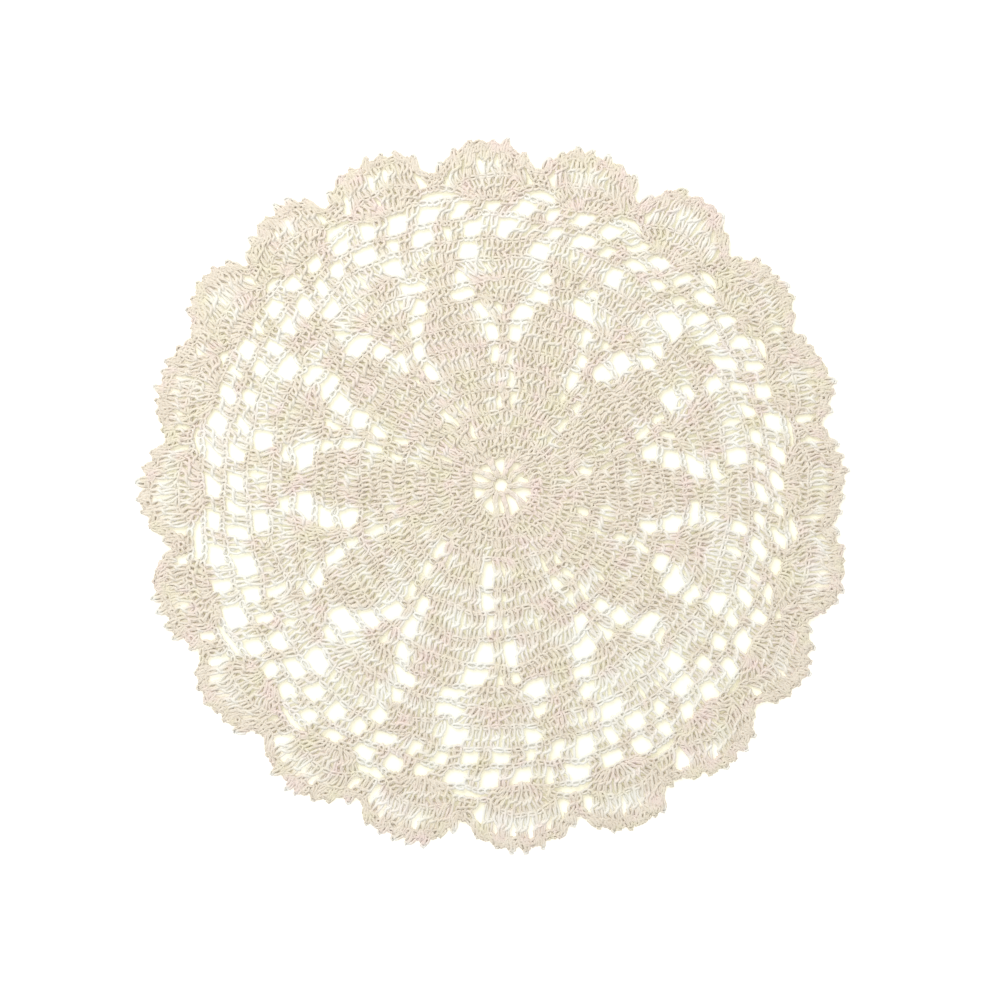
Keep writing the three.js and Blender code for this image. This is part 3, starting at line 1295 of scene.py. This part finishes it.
@dataclass(frozen=True)
class CottonFinish:
    """Matte unbleached cotton, plied, with the small changes of tone of a natural yarn, painted shade in
    the grooves between its plies, and painted light from the table where the work is open.
    """

    light: Colour = (0.805, 0.74, 0.63)
    # the darker tone: the yarn's random tones and the painted shade in the ply grooves both reach towards
    # it
    deep: Colour = (0.66, 0.57, 0.45)
    pale: Colour = (0.785, 0.78, 0.73)  # painted backlight: the paler, greener colour that open work takes for the table's light through it
    blush: Colour = (0.81, 0.69, 0.625)
    straw: Colour = (0.775, 0.725, 0.56)
    glow: Colour = (0.075, 0.08, 0.075)  # painted glow: the table's light that comes through open work, given off by the cotton itself
    plies: int = 3
    twist: float = 5.5 * MM  # the length in which the plies make one turn
    fibre_grain: tuple[float, float, float] = (900.0, 9.0, 40.0)  # along, round, slowly along
    fibre_detail: float = 3.0
    stitch_grain: float = 170.0  # changes of tone in a metre
    stitch_detail: float = 1.0
    patch_grain: float = 110.0  # changes of hue in a metre
    patch_detail: float = 2.0
    painted_groove_shade: float = 0.33  # how much each of these deepens the tone; the groove's share is painted shade between the plies, the others are the yarn's own tone
    fibre_shade: float = 0.5
    stitch_shade: float = 0.65
    strand_shade: float = 0.25
    shade: float = 0.12  # the tone where none of them does
    blush_gain: float = 4.5
    straw_gain: float = 4.4
    painted_backlight_flattening: float = 0.6  # how much of the shade open work loses, painted as evened out by the table's light from below
    painted_backlight_share: float = 0.85  # how near to pale, the painted backlight colour, it comes
    open_relief: float = 0.75  # how much of its relief it loses
    ply_relief: float = 0.7
    fibre_relief: float = 0.5
    relief: float = 0.12 * MM
    roughness: float = 0.9
    specular: float = 0.25
    sheen: float = 0.25
    sheen_roughness: float = 0.5

    def material(self) -> bpy.types.Material:
        """Build the cotton material.

        Returns:
            The material.
        """
        made, graph = blank("Unbleached cotton")
        made.cycles.emission_sampling = "NONE"
        openness = graph.node("ShaderNodeAttribute", {"attribute_name": "open"})["Fac"]
        groove, fibre = self._twisted(graph)
        height = (1.0 - groove) * self.ply_relief + fibre * self.fibre_relief
        height = height * (1.0 - openness * self.open_relief)
        relief = {"Strength": 1.0, "Distance": self.relief, "Height": height}
        graph.surface({
            "Base Color": self._colour(graph, groove, fibre, openness),
            "Roughness": self.roughness,
            "Specular IOR Level": self.specular,
            "Sheen Weight": self.sheen,
            "Sheen Roughness": self.sheen_roughness,
            "Normal": graph.node("ShaderNodeBump", sockets=relief)["Normal"],
            # painted glow: open work gives off light for the table's light that comes through it
            "Emission Color": graph.mix(openness, (0.0, 0.0, 0.0), self.glow),
            "Emission Strength": 1.0,
        })
        return made

    def _twisted(self, graph: Graph) -> tuple[Socket, Socket]:
        """The yarn's plies and fibres, from its map.

        Args:
            graph: the material's tree.

        Returns:
            How deep the groove between two plies is, from 0 to 1, and the fibres' noise.
        """
        parts = graph.node(
            "ShaderNodeSeparateXYZ", sockets={0: graph.node("ShaderNodeUVMap", {"uv_map": "UVMap"})[0]}
        )
        along, turn = parts["X"], parts["Y"]
        ply = (turn + along * (1.0 / self.twist)) * (2 * math.pi * self.plies)
        fine, around, coarse = self.fibre_grain
        grain = {"X": along * fine, "Y": turn * around, "Z": along * coarse}
        noise = {"Vector": graph.node("ShaderNodeCombineXYZ", sockets=grain)[0], "Scale": 1.0,
                 "Detail": self.fibre_detail}
        fibre = graph.node("ShaderNodeTexNoise", {"noise_dimensions": "3D"}, noise)[0]
        return 0.5 - ply.cosine() * 0.5, fibre

    def _colour(self, graph: Graph, groove: Socket, fibre: Socket, openness: Socket) -> Socket:
        """The cotton's colour, with painted shade in the ply grooves and painted backlight where the work
        is open.

        Args:
            graph: the material's tree.
            groove: how deep the groove between two plies is.
            fibre: the fibres' noise.
            openness: how open the work is.

        Returns:
            The colour.
        """
        place = graph.node("ShaderNodeTexCoord")["Object"]
        noise = {"Vector": place, "Scale": self.stitch_grain, "Detail": self.stitch_detail}
        stitch = graph.node("ShaderNodeTexNoise", sockets=noise)[0]
        noise = {"Vector": place, "Scale": self.patch_grain, "Detail": self.patch_detail}
        patches = graph.node("ShaderNodeTexNoise", sockets=noise)["Color"]
        patch = graph.node("ShaderNodeSeparateColor", sockets={0: patches})
        tone = graph.node("ShaderNodeAttribute", {"attribute_name": "tone"})["Fac"]
        # painted shade: the tone deepens in the grooves between the plies, where shade falls; fibre, stitch
        # and strand tones are the yarn's own
        shade = groove * groove * self.painted_groove_shade
        shade = shade + (fibre - 0.5) * self.fibre_shade + (stitch - 0.5) * self.stitch_shade
        shade = shade + (tone - 0.5) * self.strand_shade
        # painted backlight: open work loses part of its shade, as if the table's light filled it
        shade = shade * (1.0 - openness * self.painted_backlight_flattening) + self.shade
        colour = graph.mix(shade, self.light, self.deep)
        colour = graph.mix((patch["Red"] - 0.5) * self.blush_gain, colour, self.blush)
        colour = graph.mix((patch["Green"] - 0.5) * self.straw_gain, colour, self.straw)
        # painted backlight: open work is mixed towards pale for the table's light that comes through it
        return graph.mix(openness * self.painted_backlight_share, colour, self.pale)


@dataclass(frozen=True)
class TableFinish:
    """Plain pale tabletop that glows a little, painted darker and more yellow under the doily and beside it
    for the doily's shade and the cotton's bounced light.
    """

    colour: Colour = (0.97, 0.97, 0.97)
    glow: Colour = (0.45, 0.42, 0.36)
    # painted shade and painted bounced light from the cotton: darker, more yellow colour and less glow
    # under the doily and beside it
    painted_shade_colour: Colour = (0.885, 0.87, 0.785)
    painted_shade_glow: Colour = (0.285, 0.275, 0.195)
    painted_shade_to: float = 0.134  # distance from the centre within which the painted shade is full
    plain_from: float = 0.150
    roughness: float = 0.8
    specular: float = 0.2

    def material(self) -> bpy.types.Material:
        """Build the tabletop's material.

        Returns:
            The material.
        """
        made, graph = blank("Pale table")
        place = graph.node("ShaderNodeTexCoord")["Object"]
        away = graph.node("ShaderNodeVectorMath", {"operation": "LENGTH"}, {0: place})["Value"]
        # 0 under the doily, where the painted shade is full, to 1 on the plain table
        plain = (away - self.painted_shade_to) * (1.0 / (self.plain_from - self.painted_shade_to))
        graph.surface({
            "Base Color": graph.mix(plain, self.painted_shade_colour, self.colour),
            "Roughness": self.roughness,
            "Specular IOR Level": self.specular,
            "Emission Color": graph.mix(plain, self.painted_shade_glow, self.glow),
            "Emission Strength": 1.0,
        })
        return made


# ---------------------------------------------------------------- the studio


@dataclass
class Studio:
    """A pale table, soft light from above, and a camera that looks straight down."""

    centre: tuple[float, float] = (-0.42 * MM, -5.65 * MM)  # of the picture, on the table
    framed: float = 0.4184  # width of the table that the camera sees
    lens: float = 85.0
    sensor: float = 36.0
    seen: tuple[float, float] = (0.01, 20.0)  # the nearest and the farthest that the camera sees
    table: float = 6.0  # width of the tabletop
    sky: float = 0.82
    lamp_size: float = 0.7
    lamp_power: float = 8.5  # watts
    lamp_place: tuple[float, float, float] = (-0.45, 0.66, 0.95)

    def camera(self) -> None:
        """Put up the camera."""
        data = bpy.data.cameras.new("Camera")
        data.lens, data.sensor_width = self.lens, self.sensor
        data.clip_start, data.clip_end = self.seen
        camera = bpy.data.objects.new("Camera", data)
        camera.location = (*self.centre, self.framed * self.lens / self.sensor)
        bpy.context.scene.collection.objects.link(camera)
        bpy.context.scene.camera = camera

    def light(self) -> None:
        """Light the table evenly, with a little more from the upper left."""
        scene = bpy.context.scene
        scene.view_settings.view_transform = "Standard"
        scene.world = bpy.data.worlds.new("Studio")
        scene.world.use_nodes = True
        graph = Graph(scene.world.node_tree)
        sky = graph.node(
            "ShaderNodeBackground", sockets={"Color": (1.0, 1.0, 1.0, 1.0), "Strength": self.sky}
        )["Background"]
        graph.node("ShaderNodeOutputWorld", sockets={"Surface": sky})
        lamp = bpy.data.lights.new("Softbox", "AREA")
        lamp.shape, lamp.size, lamp.energy = "SQUARE", self.lamp_size, self.lamp_power
        softbox = bpy.data.objects.new("Softbox", lamp)
        softbox.location = self.lamp_place
        softbox.rotation_euler = (-softbox.location).to_track_quat("-Z", "Y").to_euler()
        scene.collection.objects.link(softbox)

    def floor(self) -> None:
        """Lay the table's top, which isn't part of the doily."""
        half = self.table / 2
        mesh = bpy.data.meshes.new("Table")
        corners = [(-half, -half, 0), (half, -half, 0), (half, half, 0), (-half, half, 0)]
        mesh.from_pydata(corners, [], [(0, 1, 2, 3)])
        mesh.materials.append(TableFinish().material())
        table = bpy.data.objects.new("Table", mesh)
        bpy.context.scene.collection.objects.link(table)
        table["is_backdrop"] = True


# ---------------------------------------------------------------- the pieces


class Band(Enum):
    """The bands of the work, from the centre out."""

    PETALS = "petal"
    FANS = "fan"
    BORDER = "border"


@dataclass
class Doily:
    """The whole doily, band by band."""

    yarn: Yarn = field(default_factory=Yarn)
    crocheter: Crocheter = field(default_factory=Crocheter)
    chain_half: float = 0.84  # half the width of a free chain, between its sides, in diameters
    tight: float = 0.68  # how much narrower a chain along the heads of stitches is
    edging_half: float = 0.50
    picot_half: float = 0.55
    ring_half: float = 0.30
    ring_radius: float = 3.9 * MM
    ring_chains: int = 10

    def build(self) -> list[bpy.types.Object]:
        """Make every piece of the doily, in order from the centre.

        Returns:
            The finished pieces.
        """
        crocheter, edge = self.crocheter, ShellEdge(self.crocheter)
        bands = {
            Band.PETALS: [crocheter.charted(number) for number in range(1, 8)],
            Band.FANS: [crocheter.charted(number) for number in range(8, 12)],
            Band.BORDER: [
                *(crocheter.net(number) for number in (12, 13)), edge.first_round(), edge.second_round()
            ],
        }
        yarns: dict[str, list[Strand]] = {}
        for band, rounds in bands.items():
            posts = [post for made in rounds for post in made.posts]
            tops = [
                chain_through(made.stops, self.yarn, self.chain_half, self.tight, True) for made in rounds
            ]
            if band is Band.PETALS:
                tops.append(self.ring())
            for part, shape in POST_PARTS.items():
                yarns[f"{band.value}_{part}"] = [post.follow(shape, self.yarn) for post in posts]
            yarns[f"{band.value}_chains"] = tops
        edging = edge.edging_round(bands[Band.BORDER][-1])
        yarns["edging"] = [
            *(post.follow(SHORT_LOOP, self.yarn) for post in edging.posts),
            chain_through(edging.stops, self.yarn, self.edging_half, 1.0, True),
        ]
        yarns["picots"] = [
            chain_through(stops, self.yarn, self.picot_half, 1.0, False) for stops in edge.picot_loops()
        ]
        openness = Openness([strand for strands in yarns.values() for strand in strands])
        spinner, finish = Spinner(self.yarn), CottonFinish().material()
        return [spinner.spin(name, strands, openness, finish) for name, strands in yarns.items()]

    def ring(self) -> Strand:
        """The starting ring of chains.

        Returns:
            Its strand.
        """
        turn = 360.0 / self.ring_chains
        stops = [Stop(polar(step * turn, self.ring_radius)) for step in range(self.ring_chains)]
        return chain_through(stops, self.yarn, self.ring_half, 1.0, True)


class Cut(NamedTuple):
    """The flat size of one band's cloth: its width each way, and its area without its windows."""

    band: Band
    width: float
    area: float
    others: tuple[str, ...] = ()  # pieces on it that aren't named after the band


CUTS = (
    Cut(Band.PETALS, 0.140, 0.0146),
    Cut(Band.FANS, 0.214, 0.0155),
    Cut(Band.BORDER, 0.298, 0.0267, ("edging", "picots")),
)


def register(pieces: list[bpy.types.Object]) -> None:
    """Attach each piece to the body that it rides on, hide the part that the pieces stand for, and log each
    piece's faces.

    Args:
        pieces: every piece of the doily.
    """
    for piece in pieces:
        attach(piece, BODY)
        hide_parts("doily")
        LOG.info("%s: %d faces", piece.name, len(piece.data.polygons))
    named = {piece.name: piece for piece in pieces}
    for cut in CUTS:
        names = (*(f"{cut.band.value}_{part}" for part in ("heads", "wraps", "chains")), *cut.others)
        named[f"{cut.band.value}_feet"]
        [named[name] for name in names]


def main() -> None:
    """Build the doily in its studio and report each piece."""
    logging.basicConfig(level=logging.INFO, format="%(name)s: %(message)s")
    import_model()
    cad_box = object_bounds()
    studio = Studio()
    studio.camera()
    studio.light()
    studio.floor()
    register(Doily().build())
    boxes = {"cad": cad_box, "visual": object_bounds()}
    {name: [list(corner) for corner in box] for name, box in boxes.items()}


if __name__ == "__main__":
    main()
